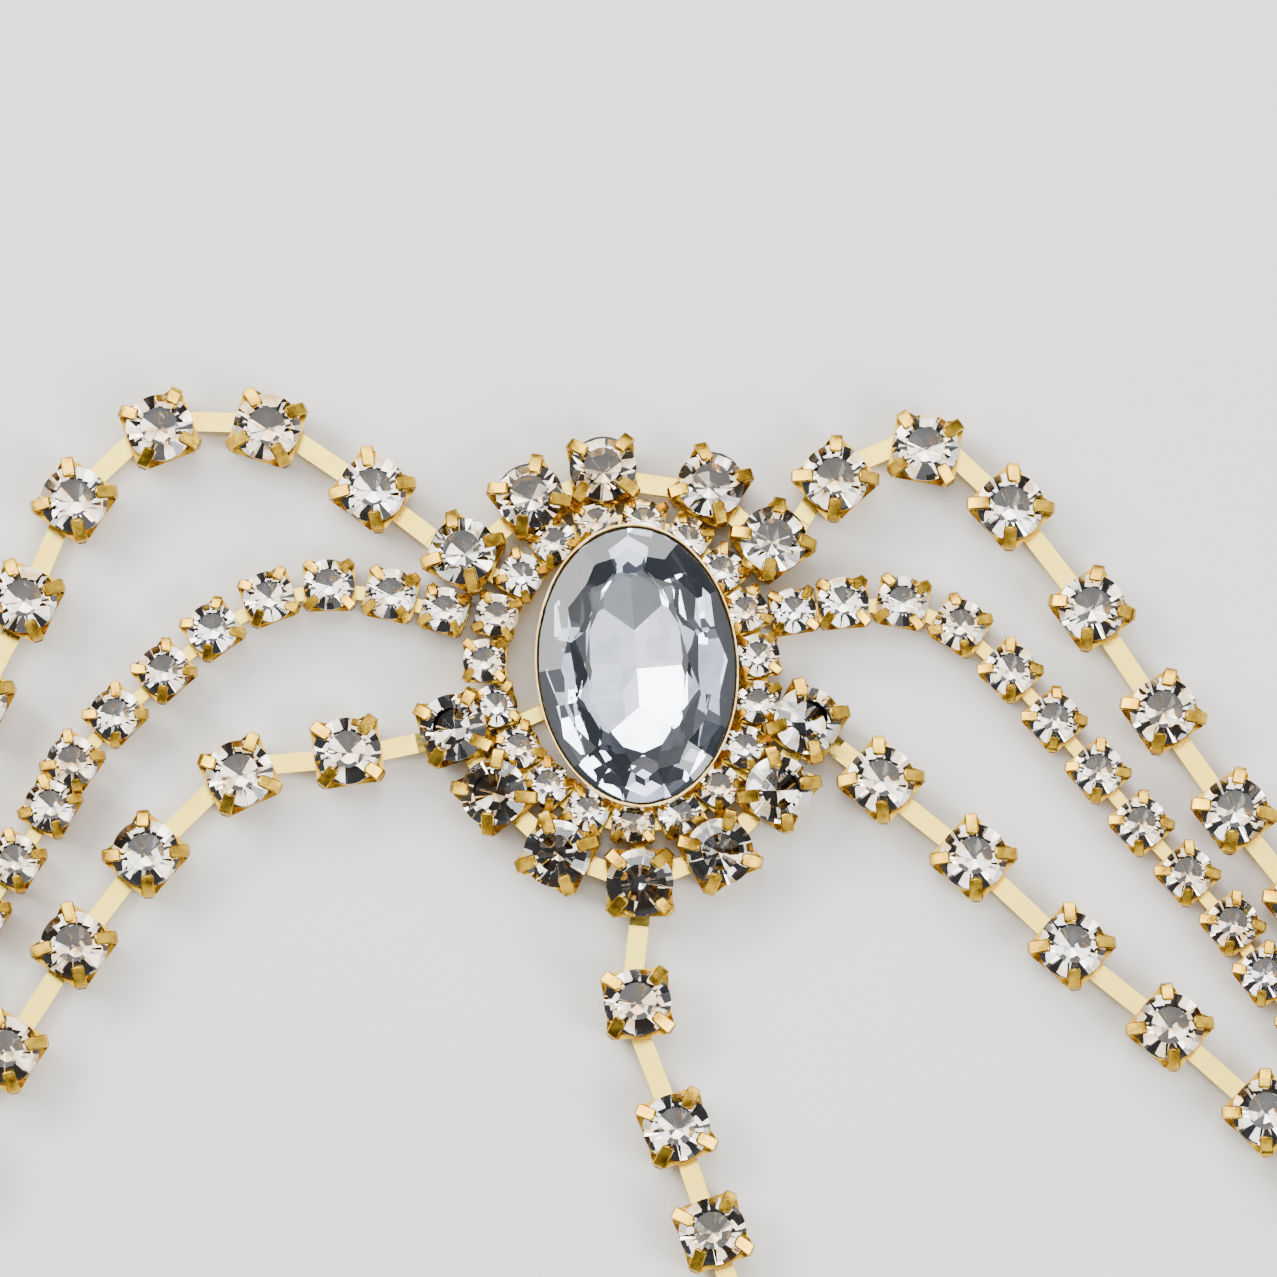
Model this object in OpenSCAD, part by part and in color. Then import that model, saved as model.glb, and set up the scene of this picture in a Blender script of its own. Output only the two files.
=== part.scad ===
// Rhinestone hair chain: an oval glass stone in a soldered medallion of round stones, from which
// three strands of cup chain sweep out to a hair hook on each side and one strand drops to a third.
// It lies flat, stones up. X runs to the right, Y up the medallion, Z out of the surface below.

/* [Stones] */
// Diameter of the large round stones
large_d = 5.9; // [5:0.1:6.8]
// Diameter of the round stones in the two close-set middle strands
medium_d = 4.5; // [3.8:0.1:5.2]
// Diameter of the first stones of the middle strands, next to the medallion
first_d = 4; // [3.6:0.1:4.6]
// Diameter of the small round stones in the ring next to the centre stone
small_d = 3.8; // [3.2:0.1:4.2]
// Width of the oval centre stone
centre_w = 17.2; // [15:0.1:22]
// Length of the oval centre stone
centre_l = 24.3; // [22:0.1:30]
// Height of a stone above its girdle, as a share of its width
crown_share = 0.18; // [0.14:0.01:0.22]
// Depth of a round stone below its girdle, as a share of its diameter
pavilion_share = 0.45; // [0.4:0.01:0.48]
// Width of a stone's flat top, as a share of its width
table_share = 0.52; // [0.45:0.01:0.6]
// Depth of the centre stone below its girdle
centre_depth = 4; // [3:0.1:4.3]

/* [Settings] */
// Thickness of the stamped metal of the large and medium cups
sheet = 0.4; // [0.3:0.05:0.5]
// Thickness of the stamped metal of the small cups
small_sheet = 0.3; // [0.2:0.05:0.35]
// How far a cup's side walls stand outside its stone
cup_margin = 0.15; // [0.1:0.05:0.3]
// Gap between a stone's girdle and its prongs, as a share of the stone
prong_stand = 0.07; // [0.05:0.01:0.1]
// Width of a prong, as a share of the stone
prong_share = 0.17; // [0.13:0.01:0.2]
// Distance from the stone's middle to a claw's tip, as a share of the stone
claw_share = 0.34; // [0.3:0.01:0.4]
// Width of the flat links between cups
link_w = 1.8; // [1.4:0.1:2]
// Thickness of the flat links
link_t = 0.4; // [0.3:0.05:0.5]
// Gap kept between loose pieces
fit = 0.12; // [0.1:0.01:0.15]

/* [Medallion] */
// From the centre stone's edge to the middle of the small ring, across the medallion
ring_off_x = 2.8; // [2.2:0.1:4]
// From the centre stone's edge to the middle of the small ring, along the medallion
ring_off_y = 1.35; // [0.8:0.05:3]
// From the middle of the small ring to the middle of the large one
ring_step = 5; // [4.9:0.1:7]
// Turn of both rings about the medallion's middle, in degrees
ring_turn = 6; // [-10:1:10]
// Height of the small ring above the surface
small_lift = 1; // [0.8:0.1:1.5]
// Outward lean of the large cups, in degrees
lean = 8; // [0:1:10]
// Middle of both rings above the origin
ring_dy = -0.4; // [-0.6:0.1:0.6]
// How far the left side of the small ring stands out beyond the oval
left_bulge = 1.2; // [0:0.1:1.2]
// Direction of that bulge, in degrees
bulge_at = 174; // [170:1:184]
// Centre stone to the right of the origin
centre_dx = 0.7; // [-0.8:0.1:0.8]
// Centre stone above the origin
centre_dy = -0.5; // [-0.8:0.1:0.8]
// Wall of the centre stone's rim
rim_wall = 0.25; // [0.2:0.05:0.5]
// Height of the centre stone's rim
rim_h = 1.5; // [1.2:0.1:2]
// Width of the bars soldered across the back
bar_w = 1.4; // [1:0.1:2]
// Thickness of the bars soldered across the back
bar_t = 0.6; // [0.5:0.05:0.7]

/* [Strands] */
// Mean distance between stones along a large strand
pitch = 10.2; // [9.4:0.1:12]
// Distance between the rings that shape a middle strand's form
ring_every = 5; // [4:0.5:8]

/* [Hooks] */
// Distance between the strands where they enter a side hook
hook_pitch = 6.2; // [6:0.1:8]
// Thickness of the hook's wire
wire_d = 1.2; // [1:0.1:1.4]
// Clear gap inside the hook's bend
hook_gap = 6.4; // [6:0.1:8]
// Straight length of the hook's shank
shank = 8; // [7:0.5:12]
// Straight length of the hook's free leg
leg = 3; // [2:0.5:5]

/* [Hidden] */
// Each row of a route is x, y and how far apart its stones are since the row before, as a share of
// the pitch. The route starts in the medallion's own cup and ends in the hook, so both are left out.
route_upper_left = [[-21.9, 17.5, 0.95], [-30.9, 23.5, 1.065], [-40.2, 23.7, 0.928], [-47.9, 17.6, 0.973],
                    [-52.8, 9, 0.972], [-62, -7, 0.964], [-80, -37.5, 0.964]];
route_lower_left = [[-25.3, -6, 0.926], [-34.8, -7.4, 0.946], [-43.4, -13.9, 1.062], [-50.1, -21.5, 0.995],
                    [-66, -43, 1.075]];
route_upper_right = [[19.7, 15.5, 0.757], [27.9, 17.3, 0.839], [34.8, 11.3, 0.909], [41.2, 1.7, 1.132],
                     [46.7, -7.8, 1.077], [52.2, -16.9, 1.043], [69.5, -42.5, 0.984]];
route_lower_right = [[21.2, -11.6, 0.802], [28.8, -19, 1.04], [36.8, -27.4, 1.138], [44.8, -35.1, 1.089],
                     [52.6, -43.2, 1.102], [64.5, -58, 0.933]];
route_drop = [[-1.3, -29.7, 1.028], [1.3, -40.9, 1.129], [3.8, -50.2, 0.944], [7, -62, 1]];
route_middle_left = [[-15.9, 5.7, 1], [-20.4, 7.6, 1], [-25.8, 9, 1], [-31.1, 8.3, 1], [-36.2, 5.8, 1],
                     [-45.2, -1.2, 1], [-52, -9, 1], [-70, -35.5, 1]];
route_middle_right = [[15.2, 3.6, 1], [19.2, 4.3, 1], [24.4, 4, 1], [29.3, 1.6, 1], [33.4, -2.7, 1],
                      [43.8, -17, 1], [53.6, -31, 1], [67.3, -50.5, 1]];

// Each hook: x and y where its middle strand ends, the way it points, and how many strands it takes
hook_left_place = [-88, -62, -124, 3];
hook_right_place = [81, -70, -57, 3];
hook_drop_place = [11.8, -79.9, -75, 1];

// Each large stone of the medallion: angle on the large ring, distance as a share of that ring, and
// how far its cup is turned from facing straight out
large_places = [[138, 1.03, 0], [112, 0.965, 0], [87, 0.965, 0], [53, 1.005, 0], [29, 1.01, 0],
                [-24, 0.975, -20], [-46, 0.97, 0], [-72, 0.99, 0], [-98, 1.03, 0], [-124, 0.985, 0],
                [-150, 0.955, 0], [-172, 0.99, 0]];
ANGLE = 0;
SHARE = 1;
TURN = 2;

// The large stones that a strand starts from, by their row above, and where the middle strands start
upper_left_row = 0;
upper_right_row = 4;
lower_right_row = 5;
drop_row = 8;
lower_left_row = 11;
middle_left_angle = 160;
middle_right_angle = 10;
// The turned cup whose inner claw stands between two small stones, where the small ring starts
gap_row = 5;

link_room = link_t + 2 * fit;
half_large = large_d / 2 + cup_margin;
half_small = small_d / 2 + cup_margin;
girdle_large = sheet + link_room + pavilion_share * large_d;
girdle_small = small_sheet + fit + pavilion_share * small_d;
claw_rise = 0.75;
small_top = small_lift + girdle_small + (crown_share + 0.04) * small_d + 2 * small_sheet;

ring_a = centre_w / 2 + ring_off_x;
ring_b = centre_l / 2 + ring_off_y;
small_pitch = 2 * half_small;

// The centre stone sits above the small ring, and the shell below its rim clears that ring
rim_z = small_top + fit;
centre_girdle = rim_z + rim_h - 0.4;
stretch = centre_l / centre_w;
rim_r = centre_w / 2 + fit + rim_wall;
shell_x = ring_a - half_small - abs(centre_dx) - 0.3;
shell_y = (ring_b - half_small - abs(centre_dy - ring_dy) - 0.3) / stretch;
shell_r = min(rim_r - 0.8, shell_x, shell_y);
foot_r = 0.55 * shell_r;

// A link's head is as round as the cup lets it be when the link swings, and wider than the slot
swing = 34;
pivot_r = half_large - sheet / 2;
head_r = (pivot_r - sheet / 2 - fit - (sheet / 2 + fit) * tan(swing)) / (1 + tan(swing));
head_off = (sheet / 2 + fit + head_r) / cos(swing);
head_end = min(head_off + 0.4, (pivot_r - fit - head_r * sin(swing)) / cos(swing));
slot_w = 2 * head_r - 0.24;
bar_half = min(link_w, (slot_w - sheet * tan(swing) - 2 * fit) * cos(swing)) / 2;
stub = (sheet / 2 + fit + bar_half * sin(swing)) / cos(swing);

function numbered(name, i) = str(name, i < 9 ? "0" : "", i + 1);
function unit(v) = v / norm(v);
function angle_of(v) = atan2(v[1], v[0]);
function turned(v, a) = [v[0] * cos(a) - v[1] * sin(a), v[0] * sin(a) + v[1] * cos(a)];
function ray(a) = [cos(a), sin(a)];

// Points and outward directions on the two rings of the medallion
function ring_point(grow, t) = turned([(ring_a + grow) * cos(t), (ring_b + grow) * sin(t)], ring_turn)
    + [0, ring_dy];
function bulge(t) = [left_bulge * pow(max(0, cos(t + ring_turn - bulge_at)), 12), 0];
function small_point(t) = ring_point(0, t) - bulge(t);
function ring_facing(grow, t) = atan2((ring_a + grow) * sin(t), (ring_b + grow) * cos(t)) + ring_turn;

// Angles that divide the small ring into equal lengths, clockwise from the claw between two stones
gap_facing = large_facing(gap_row) + large_turn(gap_row) + 225;
gap_reach = large_d * (0.5 + prong_stand) + sheet / 2;
gap_claw = turned(large_point(gap_row) + ray(gap_facing) * gap_reach - [0, ring_dy], -ring_turn);
gap_angle = atan2(gap_claw[1] / ring_b, gap_claw[0] / ring_a);
ring_steps = 120;
ring_marks = [for (i = [0:ring_steps]) gap_angle - i * 360 / ring_steps];
ring_run = [for (i = 0, s = 0; i <= ring_steps; i = i + 1,
                 s = s + norm(small_point(ring_marks[min(i, ring_steps)])
                              - small_point(ring_marks[i - 1]))) s];
small_count = floor(ring_run[ring_steps] / small_pitch);
function small_angle(i) = lookup((i + 0.5) * ring_run[ring_steps] / small_count,
                                 [for (k = [0:ring_steps]) [ring_run[k], ring_marks[k]]]);

function large_point(i) = ring_point(ring_step, large_places[i][ANGLE]) * large_places[i][SHARE];
function large_facing(i) = ring_facing(ring_step, large_places[i][ANGLE]);
// A leaning cup turns about its outermost bottom edge, which stays on the surface
function large_turn(i) = large_places[i][TURN];
function large_reach(i) = let (t = abs(large_turn(i)), corner = large_d * (0.5 + prong_stand) + sheet)
    half_large * cos(t) + (corner * sqrt(2) - half_large) * sin(t);
function lean_pivot(i) = large_reach(i) * cos(lean) - girdle_large * sin(lean);
function large_slot(i) = large_point(i)
    + turned([lean_pivot(i) + (pivot_r * cos(large_turn(i)) - large_reach(i)) * cos(lean)
              + (sheet + fit) * sin(lean), pivot_r * sin(large_turn(i))], large_facing(i));

// A smooth curve through the points of a route
function blend(a, b, c, d, t) = 0.5 * (2 * b + (c - a) * t + (2 * a - 5 * b + 4 * c - d) * t * t
                                       + (3 * b - a - 3 * c + d) * t * t * t);
function route_at(p, i, t) = blend(p[max(i - 1, 0)], p[i], p[i + 1], p[min(i + 2, len(p) - 1)], t);
fine = 12;
function xy(p) = [p[0], p[1]];
function curve(p) = [for (i = [0:len(p) - 2]) for (k = [0:fine - 1])
                         concat(xy(route_at(p, i, k / fine)), p[i + 1][2]),
                     p[len(p) - 1]];
function leap(c, i, step) = norm(xy(c[i]) - xy(c[i - 1])) / (step * c[i - 1][2]);
function runs(c, step) = [for (i = 0, s = 0; i < len(c); i = i + 1,
                               s = s + (i < len(c) ? leap(c, i, step) : 0)) s];
function point_on(c, run, s) = [lookup(s, [for (i = [0:len(c) - 1]) [run[i], c[i][0]]]),
                                lookup(s, [for (i = [0:len(c) - 1]) [run[i], c[i][1]]])];

// Where a hook's strands end: lane is -1, 0 or 1, from the right of the hook's heading to its left
function hook_lane(place, lane) = xy(place) + ray(place[2] + 90) * hook_pitch * lane;
// A strand's cups, from the medallion's own cup to the place inside the hook
function strand_cups(row, route, place, lane) =
    let (start = concat(large_point(row), 1))
    let (end = concat(hook_lane(place, lane), route[len(route) - 1][2]))
    let (c = curve(concat([start], route, [end])), run = runs(c, pitch))
    let (total = run[len(run) - 1], count = max(2, round(total)))
    [for (k = [0:count]) point_on(c, run, k * total / count)];
function link_angle(cups, turns, k) = angle_of(cups[k + 1] - ray(turns[k + 1]) * pivot_r
                                               - cups[k] - ray(turns[k]) * pivot_r);
function mean_angle(a, b) = angle_of(ray(a) + ray(b));
// Turns each cup step by step until it faces halfway between its two links; the ends stay as given
function settled(cups, turns, steps) = steps == 0 ? turns :
    let (last = len(cups) - 1)
    settled(cups, [for (k = [0:last]) k == 0 || k == last ? turns[k] :
                       let (back = link_angle(cups, turns, k - 1), on = link_angle(cups, turns, k))
                       turns[k] + 0.3 * angle_of(turned(ray(mean_angle(back, on)), -turns[k]))], steps - 1);
function cup_turns(cups, first, last) =
    let (guess = [for (k = [0:len(cups) - 1]) k == 0 ? first : k == len(cups) - 1 ? last :
                      angle_of(cups[k + 1] - cups[k - 1])])
    settled(cups, guess, 15);

module gold() { color([0.86, 0.66, 0.27]) children(); }
module crystal() { color([0.88, 0.91, 0.95]) children(); }

// A brilliant: flat octagonal table, a crown of kites and triangles, and a pointed pavilion
module round_stone(d, girdle) {
    table_r = d * table_share / 2;
    top = girdle + crown_share * d;
    points = concat([for (k = [0:7]) [table_r * cos(45 * k), table_r * sin(45 * k), top]],
                    [for (k = [0:15]) [d / 2 * cos(22.5 * k), d / 2 * sin(22.5 * k), girdle]],
                    [[0, 0, girdle - pavilion_share * d]]);
    function rim(j) = 8 + (j + 16) % 16;
    faces = concat([[for (k = [7:-1:0]) k]],
                   [for (k = [0:7]) [k, (k + 1) % 8, rim(2 * k + 1)]],
                   [for (k = [0:7]) [k, rim(2 * k + 1), rim(2 * k)]],
                   [for (k = [0:7]) [k, rim(2 * k), rim(2 * k - 1)]],
                   [for (k = [0:15]) [rim(k), rim(k + 1), 24]]);
    polyhedron(points = points, faces = faces);
}

// The plan of a cup: a square whose corners are cut off where the prongs stand
module cup_plan(half, corner) {
    intersection() {
        square(2 * half, center = true);
        rotate(45) square(2 * corner, center = true);
    }
}

// A stamped cup with four claws; links leave through slots, and the other sides are scooped low
module cup(d, metal, room, slots, scoops) {
    half = d / 2 + cup_margin;
    corner = d * (0.5 + prong_stand) + metal;
    girdle = metal + room + pavilion_share * d;
    wall_top = girdle - 0.25 * pavilion_share * d;
    scoop_r = 0.42 * d;
    proud = 0.06;
    slope = crown_share / (0.5 - table_share / 2);
    thick = sqrt(1 + slope * slope);
    tip = claw_share * d;
    inner = corner - metal;
    bend = corner - 0.6 * metal;
    function under(r) = girdle + (d / 2 - r) * slope + fit * thick;
    function over(r) = under(r) + metal * thick;
    difference() {
        linear_extrude(wall_top) cup_plan(half, corner - proud);
        translate([0, 0, metal]) linear_extrude(wall_top) cup_plan(half - metal, corner - proud - metal);
        for (a = scoops) {
            rotate(a) translate([0, 0, metal + room + 0.15 * d + scoop_r]) rotate([0, 90, 0])
                cylinder(r = scoop_r, h = d, $fn = 48);
        }
        for (a = slots) {
            rotate(a) translate([half - 1.5 * metal, -slot_w / 2, metal])
                cube([2 * metal, slot_w, room]);
        }
    }
    for (a = [45:90:315]) {
        rotate(a) rotate([90, 0, 0]) translate([0, 0, -prong_share * d / 2])
            linear_extrude(prong_share * d)
                polygon([[inner, metal / 2], [corner, metal / 2], [corner, under(inner) + 0.1],
                         [bend, over(bend)], [tip, over(tip)], [tip, under(tip)], [inner, under(inner)]]);
    }
}

module large_cup(slots, scoops) { cup(large_d, sheet, link_room, slots, scoops); }

// Puts a piece of a medallion's large cup at its place on the ring, leaning outwards
module on_large_seat(i) {
    p = large_point(i);
    translate([p[0], p[1], 0]) rotate(large_facing(i)) translate([lean_pivot(i), 0, 0])
        rotate([0, lean, 0]) translate([-large_reach(i), 0, 0]) rotate(large_turn(i)) children();
}

module on_small_seat(i) {
    p = small_point(small_angle(i));
    translate([p[0], p[1], small_lift]) rotate(ring_facing(0, small_angle(i))) children();
}

// One end of a link, inside a cup: a round head cut off short, with the wall's slot at the origin
module link_head() {
    intersection() {
        translate([-head_off, 0]) circle(r = head_r, $fn = 48);
        translate([-head_end, -head_r]) square([head_end, 2 * head_r]);
    }
    translate([-head_off, -bar_half]) square([head_off + stub + 0.3, 2 * bar_half]);
}

// The flat bar between two slots, with a head at its far end, and at its near end if asked
module link(from, to, near_head) {
    run = norm(to - from);
    translate([from[0], from[1], sheet + fit]) rotate(angle_of(to - from)) linear_extrude(link_t) {
        translate([stub, -bar_half]) square([run - 2 * stub, 2 * bar_half]);
        if (near_head) link_head();
        translate([run, 0]) mirror([1, 0]) link_head();
    }
}

// A strand's loose stones, cups and links; its first link hangs in the medallion's leaning cup
module strand(row, route, place, lane) {
    cups = strand_cups(row, route, place, lane);
    turns = cup_turns(cups, large_facing(row) + large_turn(row), place[2]);
    last = len(cups) - 1;
    for (k = [1:last - 1]) {
        translate(concat(cups[k], 0)) rotate(turns[k]) {
            gold() large_cup([0, 180], [90, 270]);
            crystal() round_stone(large_d, girdle_large);
        }
    }
    for (k = [2:last]) {
        gold() link(cups[k - 1] + ray(turns[k - 1]) * pivot_r, cups[k] - ray(turns[k]) * pivot_r, true);
    }
    out = large_slot(row);
    first = cups[1] - ray(turns[1]) * pivot_r;
    hang = angle_of(first - out) - large_facing(row) - large_turn(row);
    gold() union() {
        link(out, first, false);
        on_large_seat(row) translate([pivot_r, 0, sheet + fit]) rotate(hang)
            linear_extrude(link_t) link_head();
    }
}

// A middle strand as its outer form: one skin swept along the route
module strand_form(route, start_angle, place) {
    width = medium_d + 2 * cup_margin;
    height = sheet + link_room + (pavilion_share + crown_share) * medium_d;
    sides = 10;
    growth = [[0, first_d / medium_d], [4 * first_d, 1]];
    wide = [for (s = [0:sides - 1]) width / 2 * cos(360 * s / sides)];
    high = [for (s = [0:sides - 1]) height / 2 * (1 + sin(360 * s / sides) / sin(72))];
    start = concat(ring_point(half_small + 1.1, start_angle) - bulge(start_angle), 1);
    end = concat(xy(place) - ray(place[2]) * (half_large + 0.3), 1);
    c = curve(concat([start], route, [end]));
    run = runs(c, 1);
    total = run[len(run) - 1];
    rings = ceil(total / ring_every);
    path = [for (k = [0:rings]) point_on(c, run, k * total / rings)];
    across = [for (k = [0:rings]) angle_of(path[min(k + 1, rings)] - path[max(k - 1, 0)]) + 90];
    points = [for (k = [0:rings]) for (s = [0:sides - 1])
                  let (share = lookup(k * total / rings, growth))
                  concat(path[k] + ray(across[k]) * wide[s] * share, high[s] * share)];
    skin = [for (k = [0:rings - 1]) for (s = [0:sides - 1])
                let (a = k * sides + s, b = k * sides + (s + 1) % sides)
                each [[a, b + sides, b], [a, a + sides, b + sides]]];
    caps = [[for (s = [0:sides - 1]) s], [for (s = [sides - 1:-1:0]) rings * sides + s]];
    polyhedron(points = points, faces = concat(skin, caps));
}

// A side hook: a flat hollow bar that traps the heads of its strands' links, and a bent wire
module hook(place) {
    wide = hook_pitch * place[3];
    tall = 2 * sheet + link_room;
    bend_r = (hook_gap + wire_d) / 2;
    ball_r = 0.65 * wire_d;
    lanes = [for (n = [0:place[3] - 1]) (n - (place[3] - 1) / 2) * hook_pitch];
    pocket = head_end + sheet;
    translate([place[0], place[1], 0]) rotate(place[2]) {
        difference() {
            translate([-half_large, -wide / 2, 0]) cube([pocket + 2 * sheet, wide, tall]);
            for (y = lanes) {
                translate([sheet - half_large, y - hook_pitch / 2 + sheet / 2, sheet])
                    cube([pocket, hook_pitch - sheet, link_room]);
                translate([-half_large - sheet / 2, y - slot_w / 2, sheet])
                    cube([2 * sheet, slot_w, link_room]);
            }
        }
        translate([pocket + 1.5 * sheet - half_large, 0, ball_r]) {
            rotate([0, 90, 0]) cylinder(d = wire_d, h = shank, $fn = 32);
            translate([shank, bend_r, 0]) rotate(-90) rotate_extrude(angle = 180, $fn = 64)
                translate([bend_r, 0]) circle(d = wire_d, $fn = 32);
            translate([shank - leg, 2 * bend_r, 0]) {
                rotate([0, 90, 0]) cylinder(d = wire_d, h = leg, $fn = 32);
                sphere(r = ball_r, $fn = 32);
            }
        }
    }
}

// The oval stone: table, two rows of crown facets, and a pavilion that closes on a short keel
module centre_stone_form() {
    table_z = centre_girdle + crown_share * 0.55 * centre_w;
    crown_z = centre_girdle + crown_share * 0.3 * centre_w;
    belt_z = centre_girdle - 0.5 * centre_depth;
    keel_z = centre_girdle - centre_depth;
    function oval(share, n, turn, z) = [for (k = [0:n - 1]) let (t = turn + 360 * k / n)
        [centre_w / 2 * share * cos(t), centre_l / 2 * share * sin(t), z]];
    points = concat(oval(table_share + 0.08, 12, 0, table_z), oval(0.84, 12, 15, crown_z),
                    oval(1, 24, 0, centre_girdle), oval(0.62, 12, 0, belt_z),
                    [[0, centre_l * 0.2, keel_z], [0, -centre_l * 0.2, keel_z]]);
    function crown(k) = 12 + (k + 12) % 12;
    function rim(k) = 24 + (k + 24) % 24;
    function belt(k) = 48 + (k + 12) % 12;
    keel = [for (k = [0:11]) k < 6 ? 60 : 61];
    faces = concat([[for (k = [11:-1:0]) k]],
                   [for (k = [0:11]) each [[k, (k + 1) % 12, crown(k)], [k, crown(k), crown(k - 1)]]],
                   [for (k = [0:11]) each [[crown(k), rim(2 * k + 2), rim(2 * k + 1)],
                                           [crown(k), rim(2 * k + 1), rim(2 * k)],
                                           [crown(k), rim(2 * k), crown(k - 1)]]],
                   [for (k = [0:11]) each [[rim(2 * k), rim(2 * k + 1), belt(k)],
                                           [rim(2 * k + 1), belt(k + 1), belt(k)],
                                           [rim(2 * k + 1), rim(2 * k + 2), belt(k + 1)],
                                           [belt(k), belt(k + 1), keel[k]]]],
                   [[belt(0), 60, 61], [belt(6), 61, 60]]);
    translate([centre_dx, centre_dy, 0]) polyhedron(points = points, faces = faces);
}

// Rim, ledge and tapering shell under the centre stone, with a round foot plate on the surface
module centre_setting() {
    inner = centre_w / 2 + fit;
    translate([centre_dx, centre_dy, 0]) scale([1, stretch, 1]) rotate_extrude($fn = 96)
        polygon([[0, 0.1], [foot_r, 0.1], [foot_r, bar_t], [shell_r, rim_z - rim_wall],
                 [rim_r, rim_z - rim_wall], [rim_r, rim_z + rim_h], [inner, rim_z + rim_h], [inner, rim_z],
                 [shell_r - rim_wall, rim_z], [foot_r - rim_wall, bar_t + rim_wall], [0, bar_t]]);
    translate([centre_dx, centre_dy, 0]) cylinder(r = foot_r - 0.3, h = bar_t / 2, $fn = 96);
}

module centre_stone() { crystal() centre_stone_form(); }

module outer_stone(i) { crystal() on_large_seat(i) round_stone(large_d, girdle_large); }

module inner_stone(i) { crystal() on_small_seat(i) round_stone(small_d, girdle_small); }

// Everything soldered together: both rings of cups, their links, the back bars and the rim
module medallion_frame() {
    starts = [upper_left_row, upper_right_row, lower_right_row, drop_row, lower_left_row];
    linked = [for (i = [0:len(large_places) - 2]) if (i != upper_right_row) i];
    gold() union() {
        centre_setting();
        for (a = [200:60:440]) {
            translate([0, ring_dy, 0]) rotate(a) translate([foot_r / 2, -bar_w / 2, 0.06])
                cube([norm([ring_a * cos(a - ring_turn), ring_b * sin(a - ring_turn)]) - foot_r / 2,
                      bar_w, bar_t - 0.16]);
        }
        translate([0, ring_dy, 0]) rotate(ring_turn) difference() {
            linear_extrude(small_lift + small_sheet / 2)
                scale([ring_a + bar_w / 2, ring_b + bar_w / 2]) circle(r = 1, $fn = 96);
            translate([0, 0, -1]) linear_extrude(small_lift + 2)
                scale([ring_a - bar_w / 2, ring_b - bar_w / 2]) circle(r = 1, $fn = 96);
        }
        for (i = [0:small_count - 1]) {
            on_small_seat(i) cup(small_d, small_sheet, fit, [], [0, 180]);
        }
        difference() {
            for (i = [0:len(large_places) - 1]) {
                outlet = len(search(i, starts)) > 0;
                scoops = outlet ? [90, 180, 270] : [0, 90, 180, 270];
                on_large_seat(i) large_cup(outlet ? [0] : [], scoops);
            }
            for (i = [0:small_count - 1]) {
                on_small_seat(i) translate([0, 0, small_sheet])
                    cylinder(r = small_d / 2 + fit, h = large_d, $fn = 48);
            }
        }
        for (i = [0:len(large_places) - 1]) {
            p = large_point(i);
            translate([p[0], p[1], 0]) rotate(large_facing(i))
                translate([-ring_step, -bar_w / 2, 0.06])
                    cube([ring_step - 1, bar_w, small_lift - 0.16]);
        }
        for (i = linked) {
            from = large_point(i) + ray(large_facing(i) - 90) * pivot_r;
            to = large_point(i + 1) + ray(large_facing(i + 1) + 90) * pivot_r;
            translate([from[0], from[1], link_room + sheet]) rotate(angle_of(to - from))
                translate([0, -link_w / 2, 0]) cube([norm(to - from), link_w, link_t]);
        }
    }
}

module strand_upper_left() { strand(upper_left_row, route_upper_left, hook_left_place, -1); }
module strand_middle_left() {
    gold() strand_form(route_middle_left, middle_left_angle, hook_left_place);
}
module strand_lower_left() { strand(lower_left_row, route_lower_left, hook_left_place, 1); }
module strand_upper_right() { strand(upper_right_row, route_upper_right, hook_right_place, 1); }
module strand_middle_right() {
    gold() strand_form(route_middle_right, middle_right_angle, hook_right_place);
}
module strand_lower_right() { strand(lower_right_row, route_lower_right, hook_right_place, -1); }
module strand_drop() { strand(drop_row, route_drop, hook_drop_place, 0); }
module hook_left() { gold() hook(hook_left_place); }
module hook_right() { gold() hook(hook_right_place); }
module hook_drop() { gold() hook(hook_drop_place); }

centre_stone();
medallion_frame();
for (i = [0:len(large_places) - 1]) {
    outer_stone(i);
}
for (i = [0:small_count - 1]) {
    inner_stone(i);
}
strand_upper_left();
strand_middle_left();
strand_lower_left();
strand_upper_right();
strand_middle_right();
strand_lower_right();
strand_drop();
hook_left();
hook_right();
hook_drop();
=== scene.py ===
import bmesh
import bpy
import math
import random
from mathutils import Matrix, Vector


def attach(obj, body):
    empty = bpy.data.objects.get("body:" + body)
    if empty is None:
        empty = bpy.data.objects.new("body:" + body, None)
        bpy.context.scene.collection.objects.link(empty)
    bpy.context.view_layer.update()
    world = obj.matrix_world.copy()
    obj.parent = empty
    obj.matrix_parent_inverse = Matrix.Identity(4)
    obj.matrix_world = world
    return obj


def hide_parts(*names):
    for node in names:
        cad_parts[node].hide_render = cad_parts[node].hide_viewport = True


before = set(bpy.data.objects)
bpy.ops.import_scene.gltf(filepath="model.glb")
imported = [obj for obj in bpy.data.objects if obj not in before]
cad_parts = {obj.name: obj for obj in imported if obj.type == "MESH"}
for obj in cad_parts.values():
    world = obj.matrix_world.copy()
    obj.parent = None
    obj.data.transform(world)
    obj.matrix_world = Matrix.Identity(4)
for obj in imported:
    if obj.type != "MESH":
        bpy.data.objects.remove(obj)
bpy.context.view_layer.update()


# The surface that the chain lies on: a plain off-white board, matt, with a trace of unevenness, and
# the soft studio lamps above it. None of it is part of the chain.
bpy.ops.object.select_all(action="DESELECT")
bpy.ops.mesh.primitive_plane_add(size=3, location=(0, 0, -0.00005))
board = bpy.context.object
board.name = "board"
board_paint = bpy.data.materials.new("board_paint")
board_paint.use_nodes = True
nodes, links = board_paint.node_tree.nodes, board_paint.node_tree.links
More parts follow.
